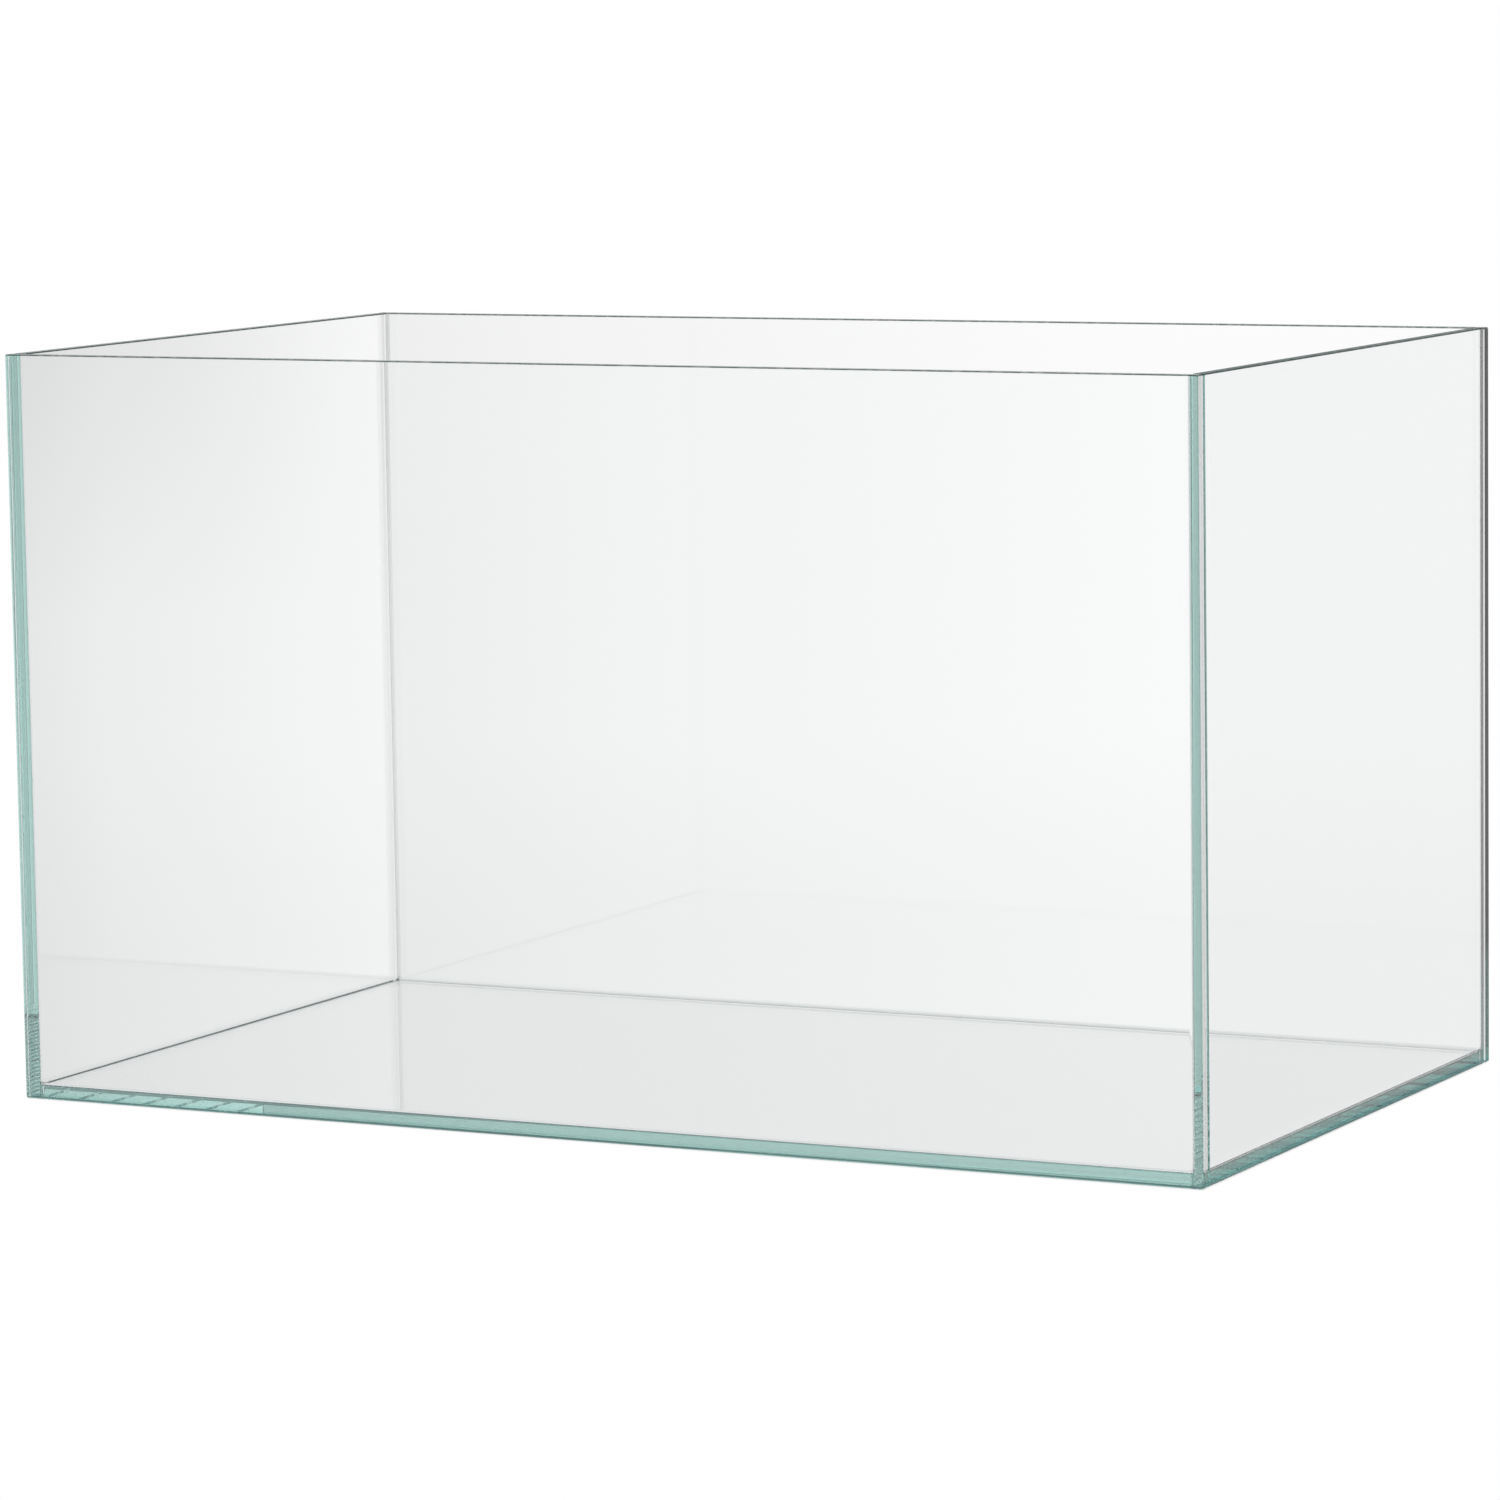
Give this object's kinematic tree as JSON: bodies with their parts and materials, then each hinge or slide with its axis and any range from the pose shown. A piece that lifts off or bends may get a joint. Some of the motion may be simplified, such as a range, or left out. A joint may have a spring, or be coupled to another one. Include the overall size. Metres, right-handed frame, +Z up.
{
  "type": "glass aquarium tank",
  "caption": "Open-topped rectangular rimless tank of clear float glass panes with polished edges, bonded edge to face with clear silicone, for fish and plants.",
  "frame": {"origin": "middle of the underside, on the surface that the tank stands on", "axes": "+X along the long walls, +Y from the front wall to the back wall, +Z up"},
  "size_m": [0.6, 0.35, 0.35],
  "materials": {
    "float_glass": "polished clear float glass, pale green at the edges",
    "clear_silicone": "clear, smooth"
  },
  "bodies": {
    "root": {"base_pane": "float_glass", "front_pane": "float_glass", "back_pane": "float_glass", "left_pane": "float_glass", "right_pane": "float_glass", "bond_front_left": "clear_silicone", "bond_front_right": "clear_silicone", "bond_back_left": "clear_silicone", "bond_back_right": "clear_silicone", "bond_base_front": "clear_silicone", "bond_base_back": "clear_silicone", "bond_base_left": "clear_silicone", "bond_base_right": "clear_silicone", "bead_front_left": "clear_silicone", "bead_front_right": "clear_silicone", "bead_back_left": "clear_silicone", "bead_back_right": "clear_silicone", "bead_base_front": "clear_silicone", "bead_base_back": "clear_silicone", "bead_base_left": "clear_silicone", "bead_base_right": "clear_silicone"}
  },
  "joints": []
}
